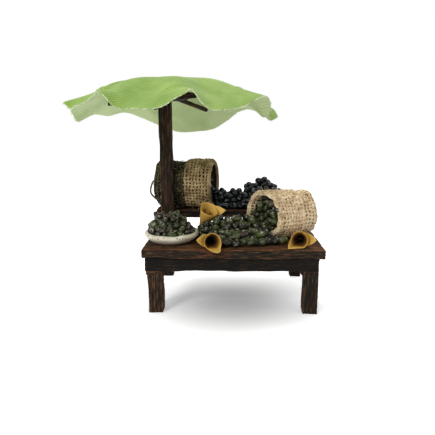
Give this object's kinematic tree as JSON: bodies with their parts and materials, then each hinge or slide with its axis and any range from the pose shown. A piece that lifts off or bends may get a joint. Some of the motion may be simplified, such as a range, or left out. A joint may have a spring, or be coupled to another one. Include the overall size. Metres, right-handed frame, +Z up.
{
  "type": "miniature market stall",
  "caption": "Miniature wooden market stall: low table with a raised back shelf and a round cloth sunshade on a post, dressed with olives, sacks, a bowl and paper cones.",
  "frame": {"origin": "on the floor, under the middle of the whole outline", "axes": "+X to the stall's right seen from its front, +Y to its back, +Z up"},
  "size_m": [0.153, 0.128, 0.1308],
  "materials": {
    "dark_wood": "dark stained rough-sawn wood with worn reddish edges",
    "green_cloth": "plain-woven dyed cotton, raw hem",
    "jute": "open-woven jute",
    "glazed_bowl": "speckled cream stoneware look",
    "green_olives": "painted modelling clay, dark olive with pale brushing",
    "black_olives": "painted modelling clay, near black, soft gloss",
    "twig": "thin bent twig",
    "kraft_paper": "matte golden-brown rolled paper"
  },
  "bodies": {
    "root": {"front_board": "dark_wood", "back_board": "dark_wood", "front_apron": "dark_wood", "back_apron": "dark_wood", "left_apron": "dark_wood", "right_apron": "dark_wood", "front_left_leg": "dark_wood", "front_right_leg": "dark_wood", "back_left_leg": "dark_wood", "back_right_leg": "dark_wood", "sunshade_post": "dark_wood", "sunshade_hub": "dark_wood", "sunshade_rib_1": "dark_wood", "sunshade_rib_2": "dark_wood", "sunshade_rib_3": "dark_wood", "sunshade_rib_4": "dark_wood", "sunshade_rib_5": "dark_wood", "sunshade_rib_6": "dark_wood", "sunshade_rib_7": "dark_wood", "sunshade_rib_8": "dark_wood", "sunshade_cloth": "green_cloth", "bowl": "glazed_bowl", "bowl_olives": "green_olives", "front_sack": "jute", "front_sack_cuff": "jute", "front_sack_olives": "green_olives", "front_board_olives": "green_olives", "back_sack": "jute", "back_sack_cuff": "jute", "back_sack_olives": "black_olives", "back_sack_handle": "twig", "back_board_olives": "black_olives", "paper_cone_left": "kraft_paper", "paper_cone_middle": "kraft_paper", "paper_cone_right": "kraft_paper"}
  },
  "joints": []
}
